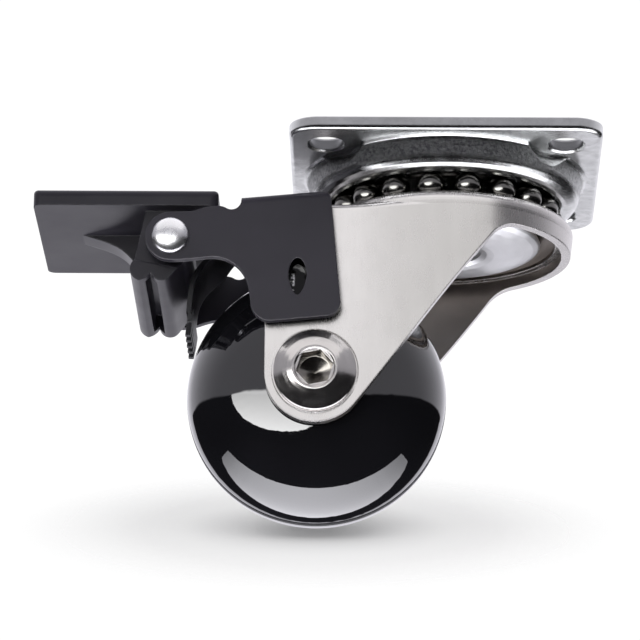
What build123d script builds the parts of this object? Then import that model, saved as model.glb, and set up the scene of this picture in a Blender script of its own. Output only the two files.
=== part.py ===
from build123d import *
import math
import os

# ---------------------------------------------------------------------------
# Furniture castor: 60 mm square mounting plate, double ball race swivel,
# pressed fork, 50 mm domed wheel, pedal brake.
# Millimetres.  Origin: swivel axis on the mounting (top) face of the plate.
# +Z up out of the mounting face, +X towards the fork's nose, wheel and pedal
# trail towards -X, axle along Y, bolt head on the -Y side.
# ---------------------------------------------------------------------------

# driving dimensions -------------------------------------------------------
PLATE_SIZE = 60.0
PLATE_T = 2.5
PLATE_CORNER_R = 5.6
SLOT_W = 6.4
SLOT_L = 7.8
SLOT_X = 23.0          # slot centres at +-X
SLOT_Y = 20.8          # slot centres at +-Y

RACE_R = 20.2          # pitch radius, upper balls
UPPER_BALL_D = 5.5563
UPPER_BALL_N = 18
UPPER_BALL_Z = -10.45
LOWER_RACE_R = 13.5
LOWER_BALL_D = 4.7625
LOWER_BALL_N = 17
LOWER_BALL_Z = -14.5
RACE_GAP = 0.08        # groove radius over ball radius

TRAIL = 24.7
AXLE_Z = -47.5
WHEEL_R = 25.0
WHEEL_HALF_W = 16.0    # half axis of the superelliptic crown
CROWN_N = 2.3          # exponent of that crown
HUB_HALF_W = 15.2

SHEET = 2.0            # fork sheet
SEAT_Y = 19.4          # outer seat of the axle bosses
BOSS_R = 9.8
NOSE_R = 25.0
CROWN_TOP = -12.6
REAR_DECK_TOP = -14.2
SKIRT_Z = -18.3

BR_OUT = 22.3          # outer face of the brake bracket's cheeks
BR_T = 1.5
PIVOT_X = -52.5
PIVOT_Z = -21.6
PIVOT_R = 2.5
TILT = 5.3             # the bracket's flags lean by this angle

os.makedirs("parts", exist_ok=True)


def put(shape, name):
    export_step(shape, "parts/" + name + ".step")


def ring_profile(points):
    """Closed XZ outline from (radius, z) points, on the plane Y=0."""
    return make_face(Polyline([(r, 0, z) for r, z in points], close=True))


def revolved(points):
    return revolve(ring_profile(points), Axis.Z, 360)


def arc_points(cr, cz, rad, a0, a1, n=14):
    out = []
    for i in range(n + 1):
        a = math.radians(a0 + (a1 - a0) * i / n)
        out.append((cr + rad * math.cos(a), cz + rad * math.sin(a)))
    return out


def torus(cr, cz, rad):
    return Pos(0, 0, cz) * Torus(cr, rad)


def cyl_y(r, y0, y1, x, z):
    """Cylinder along Y between y0 and y1."""
    return Pos(x, (y0 + y1) / 2, z) * Rot(90, 0, 0) * Cylinder(r, abs(y1 - y0))


def side_solid(pts, y0, y1):
    """Extrude a closed XZ outline from y0 to y1 (y0 < y1)."""
    f = make_face(Polyline([(x, y0, z) for x, z in pts], close=True))
    return extrude(f, amount=y1 - y0, dir=(0, 1, 0))


# ---------------------------------------------------------------------------
# 1 top plate
# ---------------------------------------------------------------------------
UB = UPPER_BALL_D / 2 + RACE_GAP
LB = LOWER_BALL_D / 2 + RACE_GAP

plate = extrude(RectangleRounded(PLATE_SIZE, PLATE_SIZE, PLATE_CORNER_R), amount=-PLATE_T)
plate = fillet(plate.edges().group_by(Axis.Z)[0], 0.8)
plate = fillet(plate.edges().group_by(Axis.Z)[-1], 0.35)
# pressed dish that hangs below the flat
dish = revolved([(0, -0.6), (26.6, -0.6), (27.7, -2.5), (27.15, -2.85), (26.85, -3.4), (26.3, -6.2),
                 (26.0, -7.0), (25.5, -7.65), (24.8, -8.15), (24.0, -8.45), (23.2, -8.55), (22.6, -8.5), (21.9, -8.0), (0, -8.0)])
# corner reliefs that keep the bolt heads clear of the dish
relief = None
for sx in (-1, 1):
    for sy in (-1, 1):
        c = Pos(sx * 24.4, sy * 22.4, -3.85) * Cone(6.9, 8.7, 2.7)
        relief = c if relief is None else relief + c
dish = dish - relief
plate = plate + dish
# hollow of the dish seen from above
plate = plate - revolved([(0, 0.5), (25.6, 0.5), (25.2, -0.35), (24.0, -1.4), (23.1, -3.9), (22.6, -4.3), (0, -4.3)])
hump = None
for sx in (-1, 1):
    for sy in (-1, 1):
        c = Pos(sx * 24.4, sy * 22.4, -2.15) * Cylinder(10.5, 4.3)
        hump = c if hump is None else hump + c
hump = hump & (Pos(0, 0, -2.15) * Cylinder(26.2, 4.3))
hump = hump - Pos(0, 0, -2.15) * Cylinder(21.6, 4.4) - relief
plate = plate + hump
# upper race
plate = plate - torus(RACE_R, UPPER_BALL_Z, UB)
plate = plate - Pos(0, 0, -5) * Cylinder(4.5, 10)
for sx in (-1, 1):
    for sy in (-1, 1):
        s = Pos(sx * SLOT_X, sy * SLOT_Y, -PLATE_T - 1) * Rot(0, 0, 90) * extrude(SlotOverall(SLOT_L, SLOT_W), amount=PLATE_T + 2)
        lead = Pos(sx * SLOT_X, sy * SLOT_Y, -PLATE_T - 0.05) * Rot(0, 0, 90) * extrude(SlotOverall(SLOT_L + 0.9, SLOT_W + 0.9), amount=0.5, taper=45)
        plate = plate - s - lead
put(plate, "top_plate")

# 2 kingpin: rivet through plate, fork hole and lower race ---------------------
kingpin = revolved([(0, -1.7), (6.4, -1.7), (7.6, -2.2), (8.0, -3.2), (8.0, -4.3), (4.5, -4.3),
                    (4.5, -16.8), (5.6, -16.8), (5.6, -17.3), (5.0, -18.0), (3.6, -18.4), (0, -18.5)])
put(kingpin, "kingpin")

# 3 lower race cup -------------------------------------------------------------
cup = revolved([(4.5, -14.9), (16.4, -14.9), (18.0, -15.2), (18.45, -15.4), (18.6, -15.75), (18.55, -16.1), (18.2, -16.5),
                (17.2, -17.0), (15.4, -17.5), (13.5, -17.85), (11.6, -18.0), (9.6, -18.0), (8.2, -17.8),
                (7.2, -17.3), (6.8, -16.8), (4.5, -16.8)])
cup = cup - torus(LOWER_RACE_R, LOWER_BALL_Z, LB)
put(cup, "lower_race_cup")

# 4, 5 ball rows -----------------------------------------------------------------
def ball_row(n, r, z, d, phase):
    balls = []
    for i in range(n):
        a = math.radians(phase + 360.0 * i / n)
        balls.append(Pos(r * math.cos(a), r * math.sin(a), z) * Sphere(d / 2))
    return Compound(children=balls)


put(ball_row(UPPER_BALL_N, RACE_R, UPPER_BALL_Z, UPPER_BALL_D, -90 - 8.2), "upper_balls")
put(ball_row(LOWER_BALL_N, LOWER_RACE_R, LOWER_BALL_Z, LOWER_BALL_D, 5.0), "lower_balls")

# ---------------------------------------------------------------------------
# 6 fork
# ---------------------------------------------------------------------------
def plan_face(z, nose, w_flat, x_flat, w_rear, x_rear):
    """Plan outline of the fork at one height: round nose, sides flowing into flat legs."""
    k = math.radians(5.0)
    tx, ty = -nose * math.sin(k), nose * math.cos(k)
    arc = ThreePointArc((tx, -ty, z), (nose, 0, z), (tx, ty, z))
    left = Spline([(tx, ty, z), (x_flat, w_flat, z), (x_rear, w_rear, z)],
                  tangents=[(-math.cos(k), -math.sin(k), 0), (-1, (w_rear - w_flat) / (x_flat - x_rear), 0)])
    rear = Line((x_rear, w_rear, z), (x_rear, -w_rear, z))
    right = Spline([(x_rear, -w_rear, z), (x_flat, -w_flat, z), (tx, -ty, z)],
                   tangents=[(1, -(w_flat - w_rear) / (x_flat - x_rear), 0), (math.cos(k), -math.sin(k), 0)])
    return make_face(Wire([arc, left, rear, right]))


Z_LOW = -60.0
XR = -34.3
outer = loft([plan_face(Z_LOW, 19.6, 18.95, -18.5, 18.7, XR),
              plan_face(REAR_DECK_TOP, NOSE_R, 20.72, -18.5, 20.5, XR)], ruled=True)
inner = loft([plan_face(Z_LOW - 0.5, 19.6 - SHEET, 16.95, -18.5, 16.6, XR - 8),
              plan_face(REAR_DECK_TOP - SHEET, NOSE_R - SHEET, 18.72, -18.5, 18.4, XR - 8)], ruled=True)
outer = fillet(outer.edges().group_by(Axis.Z)[-1].filter_by(lambda e: e.center().X < -4.0), 1.3)
shell = outer - inner

# side outline of skirt and legs
ca = math.radians(51.8)
ax, az = -TRAIL, AXLE_Z
# diagonal tangent point on the boss circle
tx = ax + BOSS_R * math.sin(ca)
tz = az - BOSS_R * math.cos(ca)
DIAG_X, DIAG_Z = 8.6, tz + (8.6 - tx) * math.tan(ca)
side_l1 = Line((XR, 0, REAR_DECK_TOP + 5), (XR, 0, az))
side_a1 = ThreePointArc((XR, 0, az), (ax + BOSS_R * math.cos(math.radians(245)), 0, az + BOSS_R * math.sin(math.radians(245))), (tx, 0, tz))
# straight front edge, then a concave sweep into the level skirt edge
c_r = 6.2
sx1 = tx + (SKIRT_Z - tz) / math.tan(ca)
t_len = c_r * math.tan(ca / 2)
p_a = (sx1 - t_len * math.cos(ca), SKIRT_Z - t_len * math.sin(ca))
p_b = (sx1 + t_len, SKIRT_Z)
mid_c = (p_b[0], SKIRT_Z - c_r)
mid_ang = math.radians(90 + 51.8 / 2)
p_m = (mid_c[0] + c_r * math.cos(mid_ang), mid_c[1] + c_r * math.sin(mid_ang))
side_l2 = Line((tx, 0, tz), (p_a[0], 0, p_a[1]))
side_a2 = ThreePointArc((p_a[0], 0, p_a[1]), (p_m[0], 0, p_m[1]), (p_b[0], 0, p_b[1]))
side_l3 = Line((p_b[0], 0, p_b[1]), (30, 0, SKIRT_Z))
side_l4 = Line((30, 0, SKIRT_Z), (30, 0, REAR_DECK_TOP + 5))
side_l5 = Line((30, 0, REAR_DECK_TOP + 5), (XR, 0, REAR_DECK_TOP + 5))
side_face = make_face(Wire([side_l1, side_a1, side_l2, side_a2, side_l3, side_l4, side_l5]))
side_body = extrude(side_face, amount=60, dir=(0, 1, 0), both=True)
shell = shell & side_body

# crown: raised ring with both race grooves and the pin hole
crown = revolved([(6.0, -10.3), (16.2, -10.3), (17.3, -10.9), (19.0, -12.3), (19.6, -12.6)]
                 + [(r, z) for r, z in reversed(arc_points(23.2, -14.37, 1.77, 0, 90, 12))]
                 + [(24.93, -14.9), (24.86, -15.45), (24.72, -16.1), (23.4, -16.4),
                  (22.4, -15.6), (20.0, -15.2), (18.6, -14.6), (17.0, -13.2), (15.8, -12.4), (15.0, -12.25), (6.0, -12.25)])
# the loft's own deck is removed under the crown so that the ring carries it
shell = shell - Pos(0, 0, -15.5) * Cylinder(21.5, 8.0)
fork = shell + crown
fork = fork - torus(RACE_R, UPPER_BALL_Z, UB)
fork = fork - torus(LOWER_RACE_R, LOWER_BALL_Z, LB)
# rear deck stops short of the legs' rear edge
rear_cut = Pos(-39.0, 0, -15.5) * Box(22.0, 35.6, 5.0)
rear_cut = fillet(rear_cut.edges().filter_by(Axis.Z), 2.5)
fork = fork - rear_cut
# the legs' rear top corners are planed under the tilted saddle of the brake bracket
fork = fork - Pos(-32.28, 0, -12.88) * Rot(0, -TILT, 0) * Pos(0, 0, 5.0 - BR_T - 0.05) * Box(13.4, 60.0, 10.0)
# axle bosses: spot-faced seats
for s in (-1, 1):
    fork = fork + (cyl_y(8.2, s * 16.9, s * SEAT_Y, ax, az))
    fork = fork - cyl_y(8.2, s * SEAT_Y, s * (SEAT_Y + 3), ax, az)
    fork = fork - cyl_y(14.0, s * 12.0, s * 16.9, ax, az)
fork = fork - cyl_y(4.05, -30, 30, ax, az)


def teardrop(cx, cz, rx, rz, y0, y1, grow=0.0):
    """Tapered oval, rounder at the top, leaning with the bracket."""
    pts = []
    for i in range(28):
        a = 2 * math.pi * i / 28
        u = (rx + grow) * math.sin(a) * (1.0 if math.cos(a) > 0 else 1.0 - 0.28 * abs(math.cos(a)))
        v = (rz + grow) * math.cos(a)
        pts.append((cx + u, cz + v))
    w = Spline([(x, y0, z) for x, z in pts], periodic=True)
    return extrude(make_face(Wire([w])), amount=y1 - y0, dir=(0, 1, 0))


CL_X, CL_Z = -28.15, -29.6       # clinch position on each flag
for s in (-1, 1):
    y0, y1 = (-25.0, -14.0) if s < 0 else (14.0, 25.0)
    fork = fork - teardrop(CL_X, CL_Z, 1.75, 3.7, y0, y1, 1.25)
put(fork, "fork")

# ---------------------------------------------------------------------------
# 7 brake bracket: saddle over the fork's rear deck with two cheeks
# ---------------------------------------------------------------------------
def cheek(y0, y1, lift):
    """Arm, relief notch and flag as one outline; lift raises the arm's lower edge."""
    e = []
    # arm end round the pivot
    e.append(ThreePointArc((PIVOT_X + 0.3, y0, PIVOT_Z + 4.8), (PIVOT_X - 4.8, y0, PIVOT_Z), (PIVOT_X + 0.2, y0, PIVOT_Z - 4.8)))
    low = Spline([(PIVOT_X + 0.2, y0, PIVOT_Z - 4.8), (-46.6, y0, -25.95 + lift), (-43.2, y0, -25.85 + lift),
                  (-40.6, y0, -26.9 + 0.3 * lift), (-38.6, y0, -28.9), (-37.6, y0, -31.2)],
                 tangents=[(1, 0, 0.0), (0.25, 0, -1)])
    e.append(low)
    e.append(Line((-37.6, y0, -31.2), (-37.05, y0, -34.4)))
    e.append(ThreePointArc((-37.05, y0, -34.4), (-35.9, y0, -37.35), (-33.1, y0, -38.45)))
    e.append(Line((-33.1, y0, -38.45), (-22.8, y0, -37.45)))
    e.append(ThreePointArc((-22.8, y0, -37.45), (-20.75, y0, -36.6), (-19.95, y0, -34.7)))
    e.append(Line((-19.95, y0, -34.7), (-21.85, y0, -14.4)))
    e.append(ThreePointArc((-21.85, y0, -14.4), (-22.55, y0, -12.75), (-24.1, y0, -12.15)))
    e.append(Line((-24.1, y0, -12.15), (-39.0, y0, -13.55)))
    e.append(Line((-39.0, y0, -13.55), (-39.1, y0, -14.7)))
    e.append(ThreePointArc((-39.1, y0, -14.7), (-40.5, y0, -16.2), (-42.0, y0, -15.9)))
    e.append(Spline([(-42.0, y0, -15.9), (-43.2, y0, -15.55), (-47.2, y0, -16.25), (PIVOT_X + 0.3, y0, PIVOT_Z + 4.8)],
                    tangents=[(-1, 0, 0.55), (-1, 0, -0.02)]))
    return extrude(make_face(Wire(e)), amount=y1 - y0, dir=(0, 1, 0))


near = cheek(-BR_OUT, -BR_OUT + BR_T, 0.0)
far = cheek(BR_OUT - BR_T, BR_OUT, 0.9)
# saddle: inverted U over the rear deck
saddle_len = 13.4
u_out = Pos(0, 0, -3.0) * Box(saddle_len, 2 * BR_OUT, 6.0)
u_out = fillet(u_out.edges().filter_by(Axis.X).group_by(Axis.Z)[-1], 1.6)
u_in = Pos(0, 0, -BR_T - 3.0) * Box(saddle_len + 2, 2 * (BR_OUT - BR_T), 6.0)
u_in = fillet(u_in.edges().filter_by(Axis.X).group_by(Axis.Z)[-1], 0.3)
saddle = Pos(-32.28, 0, -12.88) * Rot(0, -TILT, 0) * (u_out - u_in)
bend = Pos(0, 0, -5.0) * Box(28.0, 2 * BR_OUT, 10.0)
bend = fillet(bend.edges().filter_by(Axis.X).group_by(Axis.Z)[-1], 1.6)
corner_cut = Pos(-32.28, 0, -12.88) * Rot(0, -TILT, 0) * ((Pos(0, 0, 0.0) * Box(26.0, 2 * BR_OUT + 4, 4.0)) - bend)
bracket = (near - corner_cut) + (far - corner_cut) + saddle
# clinch dimples pressed through the windows of the legs
for s in (-1, 1):
    if s < 0:
        boss = teardrop(CL_X, CL_Z, 1.75, 3.7, -BR_OUT + 0.4, -17.6, 0.95)
        pit = teardrop(CL_X, CL_Z, 1.75, 3.7, -BR_OUT - 1, -18.4, 0.0)
    else:
        boss = teardrop(CL_X, CL_Z, 1.75, 3.7, 17.6, BR_OUT - 0.4, 0.95)
        pit = teardrop(CL_X, CL_Z, 1.75, 3.7, 18.4, BR_OUT + 1, 0.0)
    bracket = bracket + boss - pit
bracket = bracket - cyl_y(PIVOT_R, -30, 30, PIVOT_X, PIVOT_Z)
LEAF_RIVETS = ((-33.6, -4.5), (-33.6, 4.5))
for x, y in LEAF_RIVETS:
    bracket = bracket - Pos(x, y, -14.5) * Cylinder(1.3, 8)
put(bracket, "brake_bracket")

# 8 pivot rivet ---------------------------------------------------------------------
def dome_head(r, h, y_seat, s, x, z):
    """Low domed head on the outside (s = -1 near, +1 far)."""
    prof = [(0, h)] + [(r * math.sin(math.radians(a)), h * (0.18 + 0.82 * math.cos(math.radians(a)))) for a in range(10, 91, 8)] + [(r, 0), (0, 0)]
    b = revolved(prof)
    return Pos(x, y_seat, z) * Rot(90 if s < 0 else -90, 0, 0) * b


rivet = cyl_y(PIVOT_R, -BR_OUT, BR_OUT, PIVOT_X, PIVOT_Z)
rivet = rivet + dome_head(3.55, 1.75, -BR_OUT, -1, PIVOT_X, PIVOT_Z) + dome_head(3.55, 1.75, BR_OUT, 1, PIVOT_X, PIVOT_Z)
put(rivet, "pivot_rivet")

# ---------------------------------------------------------------------------
# 9 brake leaf: toothed spring leaf riveted under the saddle
# ---------------------------------------------------------------------------
LEAF_T = 1.0
LEAF_HALF = 9.0
# centre line: straight root under the saddle, then a drop towards the tread
root = [(-30.2, -14.73), (-37.9, -15.45)]
path = [(-37.9, -15.45), (-40.4, -16.0), (-42.3, -17.7), (-43.9, -20.1), (-46.6, -22.7),
        (-48.4, -25.6), (-49.05, -29.0), (-49.25, -33.0), (-49.5, -36.9)]


def leaf_side(off):
    """The drop's points moved off the centre line to one side."""
    out = []
    for i, (x, z) in enumerate(path):
        p0 = root[0] if i == 0 else path[i - 1]
        p1 = path[i] if i == 0 else path[min(len(path) - 1, i + 1)]
        dx, dz = p1[0] - p0[0], p1[1] - p0[1]
        n = math.hypot(dx, dz)
        out.append((x - dz / n * off, -LEAF_HALF, z + dx / n * off))
    return out


def root_end(off):
    dx, dz = root[1][0] - root[0][0], root[1][1] - root[0][1]
    n = math.hypot(dx, dz)
    return (root[0][0] - dz / n * off, -LEAF_HALF, root[0][1] + dx / n * off)


lo, hi = leaf_side(LEAF_T / 2), leaf_side(-LEAF_T / 2)
root_dir = (root[1][0] - root[0][0], 0, root[1][1] - root[0][1])
s1 = Spline(lo, tangents=[root_dir, (-0.15, 0, -1)])
s2 = Spline(hi, tangents=[root_dir, (-0.15, 0, -1)])
leaf_face = make_face(Wire([Line(root_end(LEAF_T / 2), lo[0]), s1, Line(lo[-1], hi[-1]), s2, Line(hi[0], root_end(-LEAF_T / 2)),
                            Line(root_end(-LEAF_T / 2), root_end(LEAF_T / 2))]))
leaf = extrude(leaf_face, amount=2 * LEAF_HALF, dir=(0, 1, 0))
# saw teeth along the free end
teeth = 5
pitch = 2 * LEAF_HALF / teeth
for i in range(teeth + 1):
    yc = -LEAF_HALF + i * pitch
    v = make_face(Polyline([(-53, yc - 1.5, -37.6), (-53, yc + 1.5, -37.6), (-53, yc + 0.15, -34.6), (-53, yc - 0.15, -34.6)], close=True))
    leaf = leaf - extrude(v, amount=9, dir=(1, 0, 0))
for x, y in LEAF_RIVETS:
    leaf = leaf - Pos(x, y, -15.5) * Cylinder(1.45, 6)
put(leaf, "brake_leaf")

# 10 leaf rivets -----------------------------------------------------------------
rv = []
for x, y in LEAF_RIVETS:
    r = Pos(x, y, -14.45) * Cylinder(1.3, 3.3)
    r = r + Pos(x, y, -12.55) * Rot(0, -TILT, 0) * Cylinder(2.3, 0.9)
    r = r + Pos(x, y, -16.36) * Rot(0, -TILT, 0) * Cylinder(2.2, 0.9)
    rv.append(r)
put(Compound(children=rv), "leaf_rivets")

# ---------------------------------------------------------------------------
# 11 pedal
# ---------------------------------------------------------------------------
PED_HALF = 20.8
PED_TOP, PED_BOT = -11.6, -15.0
slab = Pos((-79.0 - 43.5) / 2, 0, (PED_TOP + PED_BOT) / 2) * Box(35.5, 2 * PED_HALF, PED_TOP - PED_BOT)
slab = fillet(slab.edges().filter_by(Axis.Y).group_by(Axis.Z)[-1], 0.8)
slab = fillet(slab.edges().filter_by(Axis.Z).group_by(Axis.X)[0], 1.6)
HUB_HALF = 18.2


def hub_outline(y0):
    e = []
    e.append(Line((-57.2, y0, -13.6), (-59.55, y0, -25.1)))
    e.append(ThreePointArc((-59.55, y0, -25.1), (-60.15, y0, -27.8), (-58.55, y0, -29.2)))
    e.append(ThreePointArc((-58.55, y0, -29.2), (-57.2, y0, -28.6), (-56.3, y0, -27.6)))
    e.append(ThreePointArc((-56.3, y0, -27.6), (-54.3, y0, -29.25), (-52.5, y0, -28.3)))
    e.append(Line((-52.5, y0, -28.3), (-50.2, y0, -25.3)))
    e.append(ThreePointArc((-50.2, y0, -25.3), (-48.3, y0, -21.6), (-50.2, y0, -17.9)))
    e.append(Line((-50.2, y0, -17.9), (-49.4, y0, -13.6)))
    e.append(Line((-49.4, y0, -13.6), (-57.2, y0, -13.6)))
    return e


hub = extrude(make_face(Wire(hub_outline(-HUB_HALF))), amount=2 * HUB_HALF, dir=(0, 1, 0))
# the upper part of each hub end is stepped back by 0.5 mm
for s in (-1, 1):
    step = make_face(Polyline([(-62, s * HUB_HALF, -10), (-62, s * HUB_HALF, -24.6), (-46, s * HUB_HALF, -27.7), (-46, s * HUB_HALF, -10)], close=True))
    hub = hub - extrude(step, amount=0.5, dir=(0, -s, 0))
# groove between the lobes runs up into the hub away from the ends
slot = extrude(make_face(Polyline([(-57.6, -16.2, -30.5), (-55.0, -16.2, -30.5), (-55.6, -16.2, -25.2), (-56.9, -16.2, -25.2)], close=True)),
               amount=32.4, dir=(0, 1, 0))
hub = hub - slot
GUSSET = 2.8
gusset = make_face(Wire([Line((-71.0, -GUSSET, -14.2), (-56.0, -GUSSET, -14.2)),
                         Line((-56.0, -GUSSET, -14.2), (-57.5, -GUSSET, -23.0)),
                         Line((-57.5, -GUSSET, -23.0), (-59.0, -GUSSET, -22.6)),
                         Spline([(-59.0, -GUSSET, -22.6), (-61.0, -GUSSET, -19.9), (-62.6, -GUSSET, -18.3), (-66.5, -GUSSET, -16.3), (-71.2, -GUSSET, -14.8)]),
                         Line((-71.2, -GUSSET, -14.8), (-71.0, -GUSSET, -14.2))]))
gusset = extrude(gusset, amount=2 * GUSSET, dir=(0, 1, 0))
pedal = slab + hub + gusset
pedal = pedal - cyl_y(PIVOT_R + 0.08, -30, 30, PIVOT_X, PIVOT_Z)
put(pedal, "pedal")

# ---------------------------------------------------------------------------
# 12-14 axle: button-head bolt, spacer sleeve, nut
# ---------------------------------------------------------------------------
LEG_IN = 16.9
head_prof = [(0, -0.0), (7.7, 0.0), (7.9, 0.25), (7.9, 0.75), (7.75, 0.95), (7.1, 1.35), (6.2, 1.95), (5.3, 2.45),
             (4.5, 2.8), (4.3, 2.86), (3.95, 2.86), (3.65, 2.55), (0, 2.55)]
head = revolved(head_prof)
hexagon = Rot(0, 0, 12) * extrude(RegularPolygon(6.3 / 2, 6, major_radius=False), amount=4.2)
head = head + Pos(0, 0, -1.4) * Cylinder(4.0, 2.8)
head = head - Pos(0, 0, -0.35) * hexagon
head = head - Pos(0, 0, -1.0) * Cone(0.05, 3.1, 1.4)
bolt = Pos(ax, -SEAT_Y, az) * Rot(90, 0, 0) * head
bolt = bolt + cyl_y(4.0, -SEAT_Y + 2.5, 26.6, ax, az)
bolt_end = bolt.edges().filter_by(GeomType.CIRCLE).group_by(Axis.Y)[-1]
bolt = chamfer(bolt_end, 0.8)
put(bolt, "axle_bolt")

sleeve = cyl_y(5.5, -LEG_IN, LEG_IN, ax, az) - cyl_y(4.05, -LEG_IN - 1, LEG_IN + 1, ax, az)
put(sleeve, "axle_sleeve")

nut = Rot(0, 0, 0) * extrude(RegularPolygon(6.5, 6, major_radius=False), amount=6.4)
nut = nut & (Cylinder(7.5, 30) & (Pos(0, 0, 6.4 - 20) * Cone(27.2, 7.2, 40)))
nut = nut + extrude(Circle(8.0), amount=1.2)
nut = nut - Cylinder(4.05, 40)
nut = Pos(ax, SEAT_Y, az) * Rot(-90, 0, 0) * nut
put(nut, "axle_nut")

# 15, 16 thrust washers -----------------------------------------------------------
for s, nm in ((-1, "thrust_washer_near"), (1, "thrust_washer_far")):
    w = cyl_y(8.6, s * (HUB_HALF_W + 0.35), s * (LEG_IN - 0.02), ax, az) - cyl_y(5.6, -30, 30, ax, az)
    put(w, nm)

# ---------------------------------------------------------------------------
# wheel: core, two hub bushes, tread band, two domed shells
# ---------------------------------------------------------------------------
def wheel_place(b):
    return Pos(ax, 0, az) * Rot(90, 0, 0) * b


def crown_r(y, rr=WHEEL_R, b=WHEEL_HALF_W):
    return rr * max(0.0, 1 - (abs(y) / b) ** CROWN_N) ** (1 / CROWN_N)


BAND = 0.9


def shell_solid():
    """One glossy half shell on the +axis side."""
    y0 = BAND + 0.05
    ys = [y0 + (HUB_HALF_W - y0) * math.sin(math.radians(t)) for t in range(0, 91, 5)]
    out = [(crown_r(y), y) for y in ys]
    out[0] = (out[0][0] - 0.18, y0)
    out.insert(1, (crown_r(y0 + 0.2), y0 + 0.2))
    inn = [(crown_r(y, WHEEL_R - 2.2, WHEEL_HALF_W - 2.0), y) for y in ys if y < WHEEL_HALF_W - 2.9]
    o = Spline([(r, 0, y) for r, y in out[1:]])
    pts_in = list(reversed(inn))
    e = [Line((out[0][0], 0, out[0][1]), (out[1][0], 0, out[1][1])), o,
         Line((out[-1][0], 0, out[-1][1]), (7.45, 0, HUB_HALF_W)),
         Line((7.45, 0, HUB_HALF_W), (7.45, 0, pts_in[0][1])),
         Line((7.45, 0, pts_in[0][1]), (pts_in[0][0], 0, pts_in[0][1])),
         Spline([(r, 0, y) for r, y in pts_in]),
         Line((pts_in[-1][0], 0, pts_in[-1][1]), (out[0][0], 0, out[0][1]))]
    return revolve(make_face(Wire(e)), Axis.Z, 360)


sh = shell_solid()
put(wheel_place(sh), "wheel_shell_near")
put(Pos(ax, 0, az) * Rot(-90, 0, 0) * sh, "wheel_shell_far")

band = revolved([(22.4, -BAND), (WHEEL_R - 0.05, -BAND), (WHEEL_R + 0.02, -BAND + 0.3), (WHEEL_R + 0.02, BAND - 0.3), (WHEEL_R - 0.05, BAND), (22.4, BAND)])
put(wheel_place(band), "tread_band")

core = revolved([(6.7, -HUB_HALF_W + 0.0), (7.4, -HUB_HALF_W + 0.0), (7.4, -11.2), (8.6, -10.6), (8.6, -1.5), (19.8, -1.2), (20.6, -3.8),
                 (21.9, -3.8), (22.35, -0.85), (22.35, 0.85), (21.9, 3.8), (20.6, 3.8), (19.8, 1.2), (8.6, 1.5), (8.6, 10.6), (7.4, 11.2),
                 (7.4, HUB_HALF_W), (6.7, HUB_HALF_W)])
put(wheel_place(core), "wheel_core")

for s, nm in ((-1, "hub_bush_near"), (1, "hub_bush_far")):
    b = cyl_y(6.68, s * (HUB_HALF_W + 0.1), s * 2.5, ax, az) - cyl_y(5.55, -30, 30, ax, az)
    put(b, nm)
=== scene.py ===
import math

import bpy
import bmesh
from mathutils import Vector, Matrix

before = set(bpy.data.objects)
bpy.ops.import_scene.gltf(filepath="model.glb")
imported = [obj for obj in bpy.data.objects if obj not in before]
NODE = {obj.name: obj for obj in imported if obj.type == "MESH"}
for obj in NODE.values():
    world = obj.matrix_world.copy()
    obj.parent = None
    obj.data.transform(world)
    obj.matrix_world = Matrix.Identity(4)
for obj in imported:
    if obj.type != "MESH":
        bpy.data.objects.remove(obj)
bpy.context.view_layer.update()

MM = 0.001

# ---------------------------------------------------------------------------
# camera: position and axes in the row frame (metres)
# ---------------------------------------------------------------------------
CAM_YAW, CAM_PITCH, CAM_ROLL, CAM_F = -0.424, 17.675, 0.641, 4562.8
CAM_POS = Vector((-17.953, -844.98, -300.58)) * MM
SWING = math.radians(0.7)      # shared between the plate's and the fork's measured turn


def camera_axes():
    a, e, r = (math.radians(v) for v in (CAM_YAW, CAM_PITCH, CAM_ROLL))
    d = Vector((math.sin(a) * math.cos(e), math.cos(a) * math.cos(e), math.sin(e)))
    right = Vector((math.cos(a), -math.sin(a), 0.0))
    up = right.cross(d)
    R = math.cos(r) * right + math.sin(r) * up
    U = -math.sin(r) * right + math.cos(r) * up
    turn = Matrix.Rotation(SWING, 3, "Z")
    return turn @ CAM_POS, turn @ R, turn @ U, turn @ d


cam_pos, cam_r, cam_u, cam_d = camera_axes()
cam_data = bpy.data.cameras.new("photo_camera")
cam_data.sensor_fit = "HORIZONTAL"
cam_data.sensor_width = 36.0
cam_data.lens = CAM_F / 640.0 * 36.0
cam_data.clip_start = 0.01
cam_data.clip_end = 20.0
cam = bpy.data.objects.new("photo_camera", cam_data)
bpy.context.scene.collection.objects.link(cam)
basis = Matrix((
    (cam_r.x, cam_u.x, -cam_d.x, cam_pos.x),
    (cam_r.y, cam_u.y, -cam_d.y, cam_pos.y),
    (cam_r.z, cam_u.z, -cam_d.z, cam_pos.z),
    (0, 0, 0, 1)))
cam.matrix_world = basis
bpy.context.scene.camera = cam


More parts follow.
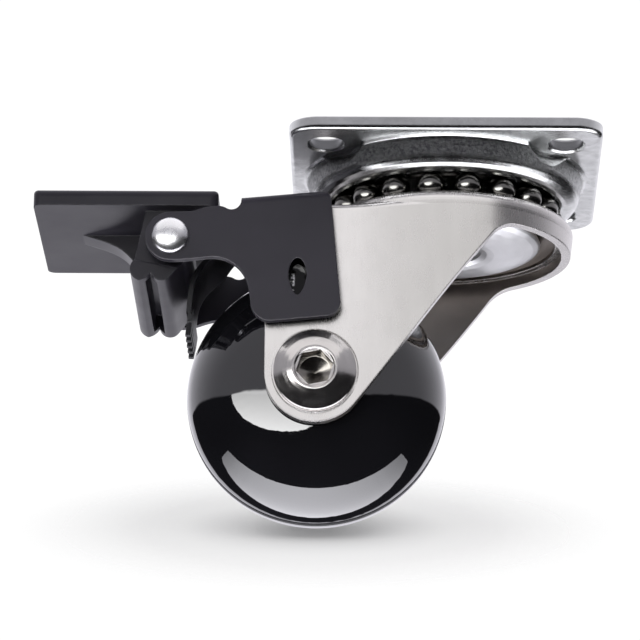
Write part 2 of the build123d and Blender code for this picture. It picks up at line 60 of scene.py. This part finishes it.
# ---------------------------------------------------------------------------
# node helpers
# ---------------------------------------------------------------------------
class Tree:
    """Small wrapper so that a material reads as a list of steps."""

    def __init__(self, name):
        self.mat = bpy.data.materials.new(name)
        self.mat.use_nodes = True
        self.t = self.mat.node_tree
        self.t.nodes.clear()
        self.out = self.t.nodes.new("ShaderNodeOutputMaterial")
        self.bsdf = self.t.nodes.new("ShaderNodeBsdfPrincipled")
        self.t.links.new(self.bsdf.outputs[0], self.out.inputs[0])
        self.coord = self.t.nodes.new("ShaderNodeTexCoord").outputs["Object"]

    def node(self, kind, **kw):
        n = self.t.nodes.new(kind)
        for k, v in kw.items():
            setattr(n, k, v)
        return n

    def link(self, a, b):
        self.t.links.new(a, b)
        return b

    def put(self, socket, value):
        """Links an output, or sets a constant."""
        if isinstance(value, bpy.types.NodeSocket):
            self.t.links.new(value, socket)
        else:
            socket.default_value = value

    def mapping(self, vec=None, scale=(1, 1, 1), loc=(0, 0, 0), rot=(0, 0, 0)):
        n = self.node("ShaderNodeMapping")
        self.link(vec or self.coord, n.inputs["Vector"])
        n.inputs["Scale"].default_value = scale
        n.inputs["Location"].default_value = loc
        n.inputs["Rotation"].default_value = rot
        return n.outputs[0]

    def noise(self, scale, detail=3.0, rough=0.5, vec=None, distortion=0.0):
        n = self.node("ShaderNodeTexNoise")
        self.link(vec or self.coord, n.inputs["Vector"])
        n.inputs["Scale"].default_value = scale
        n.inputs["Detail"].default_value = detail
        n.inputs["Roughness"].default_value = rough
        n.inputs["Distortion"].default_value = distortion
        return n.outputs["Fac"]

    def voronoi(self, scale, vec=None, feature="F1", out="Distance"):
        n = self.node("ShaderNodeTexVoronoi", feature=feature)
        self.link(vec or self.coord, n.inputs["Vector"])
        n.inputs["Scale"].default_value = scale
        return n.outputs[out]

    def ramp(self, fac, stops, interpolation="LINEAR"):
        n = self.node("ShaderNodeValToRGB")
        n.color_ramp.interpolation = interpolation
        els = n.color_ramp.elements
        while len(els) < len(stops):
            els.new(0.5)
        for e, (p, c) in zip(els, stops):
            e.position = p
            e.color = c if len(c) == 4 else (*c, 1)
        self.link(fac, n.inputs[0])
        return n.outputs[0]

    def range(self, fac, a, b, lo, hi, clamp=True):
        n = self.node("ShaderNodeMapRange")
        n.clamp = clamp
        self.link(fac, n.inputs[0])
        for i, v in zip((1, 2, 3, 4), (a, b, lo, hi)):
            n.inputs[i].default_value = v
        return n.outputs[0]

    def math(self, op, a, b=0.0, clamp=False):
        n = self.node("ShaderNodeMath", operation=op)
        n.use_clamp = clamp
        self.put(n.inputs[0], a)
        self.put(n.inputs[1], b)
        return n.outputs[0]

    def mix(self, fac, a, b, blend="MIX"):
        n = self.node("ShaderNodeMix", data_type="RGBA", blend_type=blend)
        self.put(n.inputs[0], fac)
        self.put(n.inputs[6], a if isinstance(a, bpy.types.NodeSocket) else (*a, 1) if len(a) == 3 else a)
        self.put(n.inputs[7], b if isinstance(b, bpy.types.NodeSocket) else (*b, 1) if len(b) == 3 else b)
        return n.outputs[2]

    def sep(self, vec):
        n = self.node("ShaderNodeSeparateXYZ")
        self.link(vec, n.inputs[0])
        return n.outputs

    def comb(self, x, y, z):
        n = self.node("ShaderNodeCombineXYZ")
        self.put(n.inputs[0], x)
        self.put(n.inputs[1], y)
        self.put(n.inputs[2], z)
        return n.outputs[0]

    def bump(self, height, strength, distance, normal=None):
        n = self.node("ShaderNodeBump")
        n.inputs["Strength"].default_value = strength
        n.inputs["Distance"].default_value = distance
        self.link(height, n.inputs["Height"])
        if normal is not None:
            self.link(normal, n.inputs["Normal"])
        return n.outputs[0]

    def edge(self, radius=0.0006, samples=6, lo=0.02, hi=0.30):
        """0 on flats, 1 on edges, from the bevelled normal; used for rubbed wear and for painted edge highlights."""
        bev = self.node("ShaderNodeBevel", samples=samples)
        bev.inputs["Radius"].default_value = radius
        geo = self.node("ShaderNodeNewGeometry")
        dot = self.node("ShaderNodeVectorMath", operation="DOT_PRODUCT")
        self.link(bev.outputs[0], dot.inputs[0])
        self.link(geo.outputs["Normal"], dot.inputs[1])
        inv = self.math("SUBTRACT", 1.0, dot.outputs["Value"])
        return self.range(inv, lo, hi, 0.0, 1.0)

    def radius_of(self, cx=0.0, cy=0.0):
        """Distance from a vertical axis through (cx, cy), and the height."""
        p = self.sep(self.coord)
        dx = self.math("SUBTRACT", p[0], cx)
        dy = self.math("SUBTRACT", p[1], cy)
        return self.math("SQRT", self.math("ADD", self.math("MULTIPLY", dx, dx), self.math("MULTIPLY", dy, dy))), p[2]

    def inward(self, cx):
        """1 where the surface's own normal points to the line x = cx, y = 0, else 0."""
        n = self.sep(self.node("ShaderNodeTexCoord").outputs["Normal"])
        p = self.sep(self.coord)
        d = self.math("ADD", self.math("MULTIPLY", n[0], self.math("SUBTRACT", p[0], cx)), self.math("MULTIPLY", n[1], p[1]))
        return self.range(d, -0.004, -0.001, 1.0, 0.0)

    def bevel(self, radius, samples=6):
        bev = self.node("ShaderNodeBevel", samples=samples)
        bev.inputs["Radius"].default_value = radius
        return bev.outputs[0]

    def set(self, **kw):
        for k, v in kw.items():
            s = self.bsdf.inputs[k.replace("_", " ")]
            if isinstance(v, bpy.types.NodeSocket):
                self.t.links.new(v, s)
            else:
                s.default_value = v if not (isinstance(v, tuple) and len(v) == 3 and s.type == "RGBA") else (*v, 1)
        return self


def zinc_plate():
    """Bright zinc, faint blue, fine speckle and painted shade on the pressed wall and soft streaks on the flats."""
    m = Tree("zinc_plate")
    fine = m.noise(2600, 2.0, 0.6)
    mid = m.noise(420, 3.0, 0.55)
    wide = m.noise(60, 2.0, 0.5)
    col = m.mix(m.range(wide, 0.35, 0.65, 0, 1), (0.69, 0.70, 0.69), (0.79, 0.80, 0.79))
    col = m.mix(m.range(mid, 0.4, 0.75, 0, 0.35), col, (0.55, 0.56, 0.555))
    # dark speckle on the pressed wall, with painted shade that makes it darker except towards the right
    r, h = m.radius_of()
    wall = m.math("MULTIPLY", m.range(h, -0.0036, -0.0029, 1.0, 0.0), m.range(h, -0.0070, -0.0060, 0.0, 1.0))
    speck = m.range(m.noise(1500, 4.0, 0.65), 0.44, 0.62, 0.0, 1.0)
    shade = m.range(m.sep(m.coord)[0], 0.008, 0.021, 0.46, 0.0)
    painted_wall_shade_and_speckle = m.math("MULTIPLY", wall, m.math("ADD", shade, m.math("MULTIPLY", speck, 0.45)))
    col = m.mix(painted_wall_shade_and_speckle, col, (0.19, 0.193, 0.198))
    # sheared walls of the slots
    p = m.sep(m.coord)
    ex = m.math("ABSOLUTE", m.math("SUBTRACT", m.math("ABSOLUTE", p[0]), 0.0230))
    ey = m.math("ABSOLUTE", m.math("SUBTRACT", m.math("ABSOLUTE", p[1]), 0.0208))
    hole = m.math("MULTIPLY", m.range(ex, 0.0033, 0.0035, 1.0, 0.0), m.range(ey, 0.0040, 0.0042, 1.0, 0.0))
    hole = m.math("MULTIPLY", hole, m.range(h, -0.0022, -0.0019, 0.0, 1.0))
    hole = m.math("MULTIPLY", hole, m.range(h, -0.0004, -0.0002, 1.0, 0.0))
    col = m.mix(m.math("MULTIPLY", hole, 0.75), col, (0.16, 0.162, 0.17))
    # grease in the race, and a thin warm film of it
    grease = m.math("MULTIPLY", m.range(h, -0.0080, -0.0076, 1.0, 0.0), m.range(r, 0.0218, 0.0222, 1.0, 0.0))
    col = m.mix(grease, col, (0.055, 0.048, 0.036))
    rough = m.math("ADD", m.range(mid, 0.3, 0.7, 0.17, 0.27), m.math("MULTIPLY", wall, 0.17))
    m.set(Base_Color=col, Metallic=1.0, Roughness=rough)
    b = m.bump(fine, 0.22, 0.00008, m.bevel(0.00035))
    b = m.bump(mid, 0.25, 0.00012, b)
    pits = m.math("MULTIPLY", m.noise(1900, 3.0, 0.65), wall)
    m.set(Normal=m.bump(pits, 0.75, 0.00022, b))
    return m.mat


def zinc_fork():
    """Satin nickel-toned plating with brushed grain that runs down the leg."""
    m = Tree("zinc_fork")
    grain = m.noise(1.0, 3.0, 0.6, m.mapping(scale=(2600, 2600, 160)))
    mid = m.noise(260, 3.0, 0.5)
    wide = m.noise(38, 2.0, 0.5)
    col = m.mix(m.range(wide, 0.3, 0.7, 0, 1), (0.655, 0.635, 0.62), (0.72, 0.70, 0.685))
    col = m.mix(m.range(mid, 0.5, 0.8, 0, 0.12), col, (0.60, 0.58, 0.565))
    # soft bands that run down the sheet
    band = m.noise(1.0, 2.0, 0.5, m.mapping(scale=(190, 190, 14)))
    col = m.mix(m.range(band, 0.38, 0.62, 0.0, 0.35), col, (0.60, 0.582, 0.567))
    # inside faces: painted shade, brown-tinted and rougher, darker towards the top
    inner = m.inward(-0.012)
    zz = m.sep(m.coord)[2]
    col = m.mix(m.math("MULTIPLY", inner, m.range(zz, -0.028, -0.020, 0.78, 0.98)), col, (0.19, 0.165, 0.145))
    rough = m.math("ADD", m.range(mid, 0.3, 0.7, 0.23, 0.27), m.range(grain, 0.3, 0.7, 0.0, 0.03))
    rough = m.math("ADD", rough, m.math("MULTIPLY", inner, 0.10))
    m.set(Base_Color=col, Metallic=1.0, Roughness=rough)
    m.set(Normal=m.bump(grain, 0.012, 0.00002, m.bevel(0.0003)))
    return m.mat


def steel(name, base, rough=(0.2, 0.3), turned=None, radius=0.00018, socket=None):
    """Turned or ground steel; turned gives the axis of the tool rings as ('Y', x, z) or ('Z', x, y), socket the radius of a key socket on the -Y side."""
    m = Tree(name)
    mid = m.noise(500, 3.0, 0.5)
    wide = m.noise(90, 2.0, 0.5)
    dark = tuple(c * 0.84 for c in base)
    col = m.mix(m.range(wide, 0.35, 0.65, 0, 1), dark, base)
    if socket:
        # painted shade inside the key socket, warm brown
        s = m.sep(m.coord)
        du = m.math("SUBTRACT", s[0], turned[1])
        dv = m.math("SUBTRACT", s[2], turned[2])
        r = m.math("SQRT", m.math("ADD", m.math("MULTIPLY", du, du), m.math("MULTIPLY", dv, dv)))
        painted_socket_shade = m.math("MULTIPLY", m.range(r, socket - 0.0002, socket, 1.0, 0.0), m.math("MULTIPLY", m.range(s[1], -0.0218, -0.0214, 0.0, 1.0), m.range(s[1], -0.002, 0.0, 1.0, 0.0)))
        col = m.mix(m.math("MULTIPLY", painted_socket_shade, 0.72), col, (0.20, 0.185, 0.160))
    m.set(Base_Color=col, Metallic=1.0, Roughness=m.range(mid, 0.3, 0.7, rough[0], rough[1]))
    n = m.bevel(radius)
    if turned:
        axis, u0, v0 = turned
        s = m.sep(m.coord)
        pu, pv = (s[0], s[2]) if axis == "Y" else (s[0], s[1])
        du = m.math("SUBTRACT", pu, u0)
        dv = m.math("SUBTRACT", pv, v0)
        r = m.math("SQRT", m.math("ADD", m.math("MULTIPLY", du, du), m.math("MULTIPLY", dv, dv)))
        rings = m.noise(1.0, 2.0, 0.6, m.comb(m.math("MULTIPLY", r, 5200.0), 0.0, 0.0))
        n = m.bump(rings, 0.20, 0.00005, n)
    n = m.bump(mid, 0.08, 0.00006, n)
    m.set(Normal=n)
    return m.mat


def chrome(name, base=(0.76, 0.77, 0.80), rough=(0.05, 0.12)):
    m = Tree(name)
    mid = m.noise(700, 3.0, 0.5)
    wide = m.noise(140, 2.0, 0.5)
    col = m.mix(m.range(wide, 0.35, 0.65, 0, 1), tuple(c * 0.9 for c in base), base)
    m.set(Base_Color=col, Metallic=1.0, Roughness=m.range(mid, 0.3, 0.7, rough[0], rough[1]))
    m.set(Normal=m.bump(mid, 0.012, 0.00003, m.bevel(0.00015)))
    return m.mat


def black_coat(name, base=(0.022, 0.021, 0.026), rough=(0.34, 0.44), grain=1500, edge_col=(0.10, 0.10, 0.11), radius=0.0003, spec=0.5, pit=None, lower_edge_highlight=None):
    """Satin black coating, faint orange peel, slightly rubbed edges; optionally a painted highlight on the lower
    edges, and painted shade and a painted glint inside a clinch pit.
    """
    m = Tree(name)
    peel = m.noise(grain, 2.0, 0.5)
    wide = m.noise(70, 3.0, 0.55)
    col = m.mix(m.range(wide, 0.3, 0.7, 0, 1), base, tuple(c * 1.35 for c in base))
    worn = m.math("MULTIPLY", m.edge(radius * 1.3), m.range(m.noise(520, 4.0, 0.6), 0.42, 0.62, 0.15, 1.0))
    col = m.mix(m.math("MULTIPLY", worn, 0.55), col, edge_col)
    if lower_edge_highlight:
        # painted highlight along the downward-facing edges
        down = m.range(m.sep(m.bevel(radius))[2], -0.50, -0.22, 0.85, 0.0)
        col = m.mix(m.math("MULTIPLY", m.edge(radius, lo=0.03, hi=0.10), down), col, lower_edge_highlight)
    rg = m.range(wide, 0.3, 0.7, rough[0], rough[1])
    nrm = m.bump(peel, 0.10, 0.00006, m.bevel(radius))
    glint_metallic = 0.0
    if pit:
        # drawn metal inside the clinch: painted shade, near black; no grain, glossy and softly folded
        x, z, rx, rz, depth = pit
        p = m.sep(m.coord)
        u = m.math("DIVIDE", m.math("SUBTRACT", p[0], x), rx)
        v = m.math("DIVIDE", m.math("SUBTRACT", p[2], z), rz)
        e = m.math("SQRT", m.math("ADD", m.math("MULTIPLY", u, u), m.math("MULTIPLY", v, v)))
        inside = m.math("MULTIPLY", m.range(e, 1.0, 1.06, 1.0, 0.0), m.range(m.math("ABSOLUTE", p[1]), depth - 0.0005, depth - 0.0001, 1.0, 0.0))
        col = m.mix(inside, col, (0.0025, 0.0025, 0.0025))
        rg = m.math("MULTIPLY", rg, m.range(inside, 0.0, 1.0, 1.0, 0.22))
        folds = m.math("MULTIPLY", m.noise(340, 0.0, 0.5), inside)
        nrm = m.bump(folds, 0.8, 0.0007, nrm)
        # painted glint: a bright bare-metal strip on the left side of the pit
        painted_glint = m.math("MULTIPLY", m.range(m.math("ABSOLUTE", m.math("ADD", u, 0.50)), 0.10, 0.22, 1.0, 0.0), m.range(m.math("ABSOLUTE", m.math("ADD", v, -0.02)), 0.36, 0.46, 1.0, 0.0))
        painted_glint = m.math("MULTIPLY", m.math("MULTIPLY", painted_glint, inside), m.range(m.noise(760, 1.0, 0.5), 0.46, 0.53, 0.0, 1.0))
        col = m.mix(painted_glint, col, (0.95, 0.95, 0.96))
        glint_metallic = painted_glint
    m.set(Base_Color=col, Metallic=glint_metallic, Roughness=rg)
    m.bsdf.inputs["Specular IOR Level"].default_value = spec
    m.set(Normal=nrm)
    return m.mat


def gloss_black(name="wheel_gloss"):
    """Moulded black polymer, mirror finish, with faint hairlines of handling."""
    m = Tree(name)
    wide = m.noise(45, 2.0, 0.5)
    fine = m.noise(1800, 2.0, 0.5)
    col = m.mix(m.range(wide, 0.3, 0.7, 0, 1), (0.0035, 0.0035, 0.0045), (0.0065, 0.0065, 0.008))
    m.set(Base_Color=col, Roughness=m.range(fine, 0.35, 0.7, 0.018, 0.05))
    m.set(Normal=m.bump(m.noise(26, 1.0, 0.4), 0.03, 0.0002))
    m.bsdf.inputs["IOR"].default_value = 1.55
    m.bsdf.inputs["Specular IOR Level"].default_value = 0.85
    m.bsdf.inputs["Coat Weight"].default_value = 0.9
    m.bsdf.inputs["Coat Roughness"].default_value = 0.015
    return m.mat


def polymer(name, base, rough=(0.45, 0.6), grain=1400, spec=0.5):
    m = Tree(name)
    g = m.noise(grain, 3.0, 0.6)
    wide = m.noise(80, 2.0, 0.5)
    col = m.mix(m.range(wide, 0.3, 0.7, 0, 1), base, tuple(min(1.0, c * 1.25) for c in base))
    m.set(Base_Color=col, Roughness=m.range(g, 0.3, 0.7, rough[0], rough[1]), Normal=m.bump(g, 0.12, 0.00006, m.bevel(0.0002)))
    m.bsdf.inputs["Specular IOR Level"].default_value = spec
    return m.mat


AX, AZ = -0.0247, -0.0475
SOCKET_R = 0.0038
mats = {
    "top_plate": zinc_plate(),
    "kingpin": steel("pin_steel", (0.72, 0.73, 0.75), (0.18, 0.28), ("Z", 0.0, 0.0)),
    "lower_race_cup": steel("cup_steel", (0.78, 0.78, 0.79), (0.36, 0.44), ("Z", 0.0, 0.0)),
    "upper_balls": chrome("ball_steel", (0.25, 0.245, 0.232), (0.12, 0.24)),
    "fork": zinc_fork(),
    "brake_bracket": black_coat("bracket_black", (0.0120, 0.0106, 0.0160), (0.32, 0.42), spec=0.34, pit=(-0.02815, -0.0296, 0.0019, 0.0039, 0.0223), lower_edge_highlight=(0.27, 0.26, 0.28)),
    "pivot_rivet": chrome("rivet_bright", (0.75, 0.75, 0.77), (0.25, 0.30)),
    "brake_leaf": black_coat("leaf_dark", (0.010, 0.010, 0.012), (0.34, 0.46), edge_col=(0.2, 0.2, 0.21), spec=0.3),
    "pedal": black_coat("pedal_grey", (0.0100, 0.0091, 0.0130), (0.27, 0.37), grain=2200, edge_col=(0.12, 0.12, 0.13), radius=0.00035, spec=0.33),
    "axle_bolt": steel("bolt_zinc", (0.62, 0.60, 0.585), (0.16, 0.22), ("Y", AX, AZ), socket=SOCKET_R),
    "axle_sleeve": steel("sleeve_steel", (0.66, 0.67, 0.69), (0.2, 0.3), ("Y", AX, AZ)),
    "thrust_washer_near": polymer("washer_plastic", (0.02, 0.02, 0.022)),
    "wheel_core": polymer("wheel_core_plastic", (0.012, 0.012, 0.013), (0.35, 0.5)),
    "wheel_shell_near": gloss_black(),
    "tread_band": polymer("tread_gloss", (0.008, 0.008, 0.009), (0.30, 0.40), spec=0.06),
    "hub_bush_near": polymer("bush_plastic", (0.66, 0.64, 0.58), (0.3, 0.42)),
}
mats["lower_balls"] = mats["upper_balls"]
mats["leaf_rivets"] = mats["pivot_rivet"]
mats["axle_nut"] = mats["axle_bolt"]
mats["thrust_washer_far"] = mats["thrust_washer_near"]
mats["wheel_shell_far"] = mats["wheel_shell_near"]
mats["hub_bush_far"] = mats["hub_bush_near"]

for name, obj in NODE.items():
    obj.data.materials.clear()
    obj.data.materials.append(mats[name])


# ---------------------------------------------------------------------------
# light
# ---------------------------------------------------------------------------
def aim(obj, where, at, up=Vector((0, 0, 1))):
    """Places a light so that it shines from where to at, its local Y along up."""
    z = (Vector(where) - Vector(at)).normalized()
    x = Vector(up).cross(z).normalized()
    y = z.cross(x)
    obj.matrix_world = Matrix(((x.x, y.x, z.x, where[0]), (x.y, y.y, z.y, where[1]), (x.z, y.z, z.z, where[2]), (0, 0, 0, 1)))


def softbox(name, where, at, size, radiance, shape="RECTANGLE", up=(0, 0, 1), color=(1, 1, 1), camera=False, glossy=True, diffuse=1.0):
    """Area light given by its radiance, so that its mirror image has a known brightness."""
    d = bpy.data.lights.new(name, "AREA")
    d.shape = shape
    d.size = size[0]
    d.size_y = size[1]
    area = size[0] * size[1] * (math.pi / 4 if shape in ("DISK", "ELLIPSE") else 1.0)
    d.energy = radiance * area * math.pi
    d.color = color
    d.diffuse_factor = diffuse
    o = bpy.data.objects.new(name, d)
    bpy.context.scene.collection.objects.link(o)
    aim(o, Vector(where), Vector(at), Vector(up))
    o.visible_camera = camera
    o.visible_glossy = glossy
    return o


def pattern(light_obj, build):
    """Gives an area light an uneven face; build gets the tree and the face's two coordinates, 0..1."""
    d = light_obj.data
    d.use_nodes = True
    t = d.node_tree
    t.nodes.clear()
    out = t.nodes.new("ShaderNodeOutputLight")
    em = t.nodes.new("ShaderNodeEmission")
    t.links.new(em.outputs[0], out.inputs[0])
    geo = t.nodes.new("ShaderNodeNewGeometry")
    sep = t.nodes.new("ShaderNodeSeparateXYZ")
    t.links.new(geo.outputs["Parametric"], sep.inputs[0])

    def rng(src, a, b, lo, hi, smooth=True):
        n = t.nodes.new("ShaderNodeMapRange")
        n.interpolation_type = "SMOOTHSTEP" if smooth else "LINEAR"
        t.links.new(src, n.inputs[0])
        for i, v in zip((1, 2, 3, 4), (a, b, lo, hi)):
            n.inputs[i].default_value = v
        return n.outputs[0]

    def op(kind, a, b=0.0):
        n = t.nodes.new("ShaderNodeMath")
        n.operation = kind
        for sk, v in zip(n.inputs, (a, b)):
            if isinstance(v, bpy.types.NodeSocket):
                t.links.new(v, sk)
            else:
                sk.default_value = v
        return n.outputs[0]

    t.links.new(build(sep.outputs[0], sep.outputs[1], rng, op), em.inputs[1])


W = Vector((AX, 0.0, AZ))

# world: pale above the studio horizon and on the backdrop behind the object, black elsewhere
world = bpy.data.worlds.new("studio")
bpy.context.scene.world = world
world.use_nodes = True
wt = world.node_tree
wt.nodes.clear()


def wn(kind, **kw):
    n = wt.nodes.new(kind)
    for k, v in kw.items():
        setattr(n, k, v)
    return n


def w_range(src, a, b, lo, hi):
    n = wn("ShaderNodeMapRange", interpolation_type="SMOOTHSTEP")
    wt.links.new(src, n.inputs[0])
    for i, v in zip((1, 2, 3, 4), (a, b, lo, hi)):
        n.inputs[i].default_value = v
    return n.outputs[0]


def w_math(op, a, b):
    n = wn("ShaderNodeMath", operation=op)
    for s, v in zip(n.inputs, (a, b)):
        if isinstance(v, bpy.types.NodeSocket):
            wt.links.new(v, s)
        else:
            s.default_value = v
    return n.outputs[0]


HORIZON = 0.155          # row-frame height of the table's far edge, as a direction
BACK_COS = 0.745         # half angle of the backdrop round the view direction
ENV_LOW, ENV_HIGH = 0.46, 0.92
w_co = wn("ShaderNodeTexCoord")
w_sep = wn("ShaderNodeSeparateXYZ")
wt.links.new(w_co.outputs["Generated"], w_sep.inputs[0])
w_dot = wn("ShaderNodeVectorMath", operation="DOT_PRODUCT")
wt.links.new(w_co.outputs["Generated"], w_dot.inputs[0])
w_dot.inputs[1].default_value = cam_d
# the room brightens from the front towards the backdrop
room = w_range(w_dot.outputs["Value"], -0.35, BACK_COS, ENV_LOW, ENV_HIGH)
sky = w_math("MULTIPLY", w_range(w_sep.outputs[2], HORIZON - 0.012, HORIZON + 0.012, 0.0, 1.0), room)
backdrop = w_range(w_dot.outputs["Value"], BACK_COS - 0.02, BACK_COS + 0.02, 0.0, 1.0)
level = w_math("MAXIMUM", w_math("MAXIMUM", sky, backdrop), 0.012)
w_out = wn("ShaderNodeOutputWorld")
w_bg = wn("ShaderNodeBackground")
w_cam = wn("ShaderNodeBackground")
w_mix = wn("ShaderNodeMixShader")
w_path = wn("ShaderNodeLightPath")
w_bg.inputs[0].default_value = (0.940, 0.925, 1.0, 1)
wt.links.new(level, w_bg.inputs[1])
w_cam.inputs[0].default_value = (1, 1, 1, 1)
w_cam.inputs[1].default_value = 1.05
wt.links.new(w_path.outputs["Is Camera Ray"], w_mix.inputs[0])
wt.links.new(w_bg.outputs[0], w_mix.inputs[1])
wt.links.new(w_cam.outputs[0], w_mix.inputs[2])
wt.links.new(w_mix.outputs[0], w_out.inputs[0])

# front box beside the camera, and the box under the object
H = 0.45
F_AZ, F_EL = math.radians(-20.0), math.radians(9.0)
front_dir = Vector((math.sin(F_AZ) * math.cos(F_EL), -math.cos(F_AZ) * math.cos(F_EL), math.sin(F_EL)))
front_box = softbox("front_box", W + front_dir * 1.1, W, (1.32, 0.80), 1.0, shape="ELLIPSE")
# only the lower half shines, brightest at its lower rim
pattern(front_box, lambda u, v, rng, op: op("MULTIPLY", rng(v, 0.515, 0.555, 1.0, 0.0), rng(v, 0.0, 0.5, 7.2, 4.2, False)))
# the satin fork takes its own, softer panel instead of this hard one, and the plate none
takes = bpy.data.collections.new("front_box_receivers")
fork_only = bpy.data.collections.new("fork_panel_receivers")
for name, obj in NODE.items():
    if name == "fork":
        fork_only.objects.link(obj)
    elif name != "top_plate":
        takes.objects.link(obj)
front_box.light_linking.receiver_collection = takes
fork_panel = softbox("fork_panel", W + Vector((-0.1, -0.95, 0.30)).normalized() * 1.1, W, (2.6, 1.1), 0.80)
fork_panel.light_linking.receiver_collection = fork_only
# high panel that the bolt's head and the rivet mirror
heads = bpy.data.collections.new("head_panel_receivers")
for name in ("axle_bolt", "axle_nut", "pivot_rivet"):
    heads.objects.link(NODE[name])
head_panel = softbox("head_panel", W + Vector((-0.05, -0.42, 0.90)).normalized() * 1.1, W, (1.9, 1.3), 0.75, color=(1.0, 0.985, 0.965))
head_panel.light_linking.receiver_collection = heads
under_box = softbox("under_box", W + Vector((-0.15 * H, 0.285 * H, -H)), W + Vector((-0.15 * H, 0.285 * H, 0)), (4.2 * H, 1.43 * H), 1.0, up=(0, 1, 0), color=(0.95, 0.945, 1.0))


def under_face(u, v, rng, op):
    """Half ellipse, brighter in the middle than at its ends."""
    px = op("MULTIPLY", op("SUBTRACT", u, 0.5), 4.2)
    py = op("MULTIPLY", v, 1.43)
    a = op("DIVIDE", px, 2.6)
    b = op("DIVIDE", py, 1.45)
    e = op("SQRT", op("ADD", op("MULTIPLY", a, a), op("MULTIPLY", b, b)))
    return op("MULTIPLY", rng(e, 0.96, 1.0, 1.0, 0.0), rng(op("ABSOLUTE", px), 0.0, 2.1, 3.7, 1.35))


pattern(under_box, under_face)
softbox("top_box", Vector((0.0, -0.35, 1.1)), Vector((0, 0, 0)), (2.4, 1.8), 1.75, up=(0, 1, 0), glossy=False)

# ---------------------------------------------------------------------------
# floor: small, pale, tilted to the photograph's ground and faded at its rim
# ---------------------------------------------------------------------------
TILT = math.radians(27.0)
fn = Vector((0, -math.sin(TILT), math.cos(TILT)))
tangent = W + Vector((0, 0.0064, -0.0237)) - fn * 0.0002
bm = bmesh.new()
rim = [bm.verts.new((0.16 * math.cos(2 * math.pi * i / 96), 0.16 * math.sin(2 * math.pi * i / 96), 0)) for i in range(96)]
bm.faces.new(rim)
me = bpy.data.meshes.new("floor")
bm.to_mesh(me)
bm.free()
floor = bpy.data.objects.new("floor", me)
bpy.context.scene.collection.objects.link(floor)
fx = Vector((1, 0, 0))
fy = fn.cross(fx)
floor.matrix_world = Matrix(((fx.x, fy.x, fn.x, tangent.x), (fx.y, fy.y, fn.y, tangent.y), (fx.z, fy.z, fn.z, tangent.z), (0, 0, 0, 1)))
fm = Tree("floor")
dist = fm.node("ShaderNodeVectorMath", operation="LENGTH")
fm.link(fm.coord, dist.inputs[0])
fade = fm.range(dist.outputs["Value"], 0.034, 0.066, 1.0, 0.0)
fm.set(Base_Color=fm.mix(fm.noise(30), (0.84, 0.84, 0.825), (0.86, 0.86, 0.845)), Roughness=0.9)
fm.bsdf.inputs["Specular IOR Level"].default_value = 0.0
transp = fm.node("ShaderNodeBsdfTransparent")
mixs = fm.node("ShaderNodeMixShader")
geo = fm.node("ShaderNodeNewGeometry")
front = fm.math("SUBTRACT", 1.0, geo.outputs["Backfacing"])
path = fm.node("ShaderNodeLightPath")
seen = fm.math("MULTIPLY", fm.math("MULTIPLY", fade, front), path.outputs["Is Camera Ray"])
fm.link(seen, mixs.inputs[0])
fm.link(transp.outputs[0], mixs.inputs[1])
glow = fm.node("ShaderNodeEmission")
glow.inputs[1].default_value = 0.90
body = fm.node("ShaderNodeMixShader")
# painted contact shadow: less of the glow near the wheel's contact point, more further out
fm.link(fm.range(dist.outputs["Value"], 0.003, 0.026, 0.16, 0.66), body.inputs[0])
fm.link(fm.bsdf.outputs[0], body.inputs[1])
fm.link(glow.outputs[0], body.inputs[2])
fm.link(body.outputs[0], mixs.inputs[2])
fm.link(mixs.outputs[0], fm.out.inputs[0])
me.materials.append(fm.mat)

scene = bpy.context.scene
scene.view_settings.view_transform = "Standard"
scene.view_settings.look = "None"
scene.view_settings.exposure = 0.0
scene.view_settings.gamma = 1.0
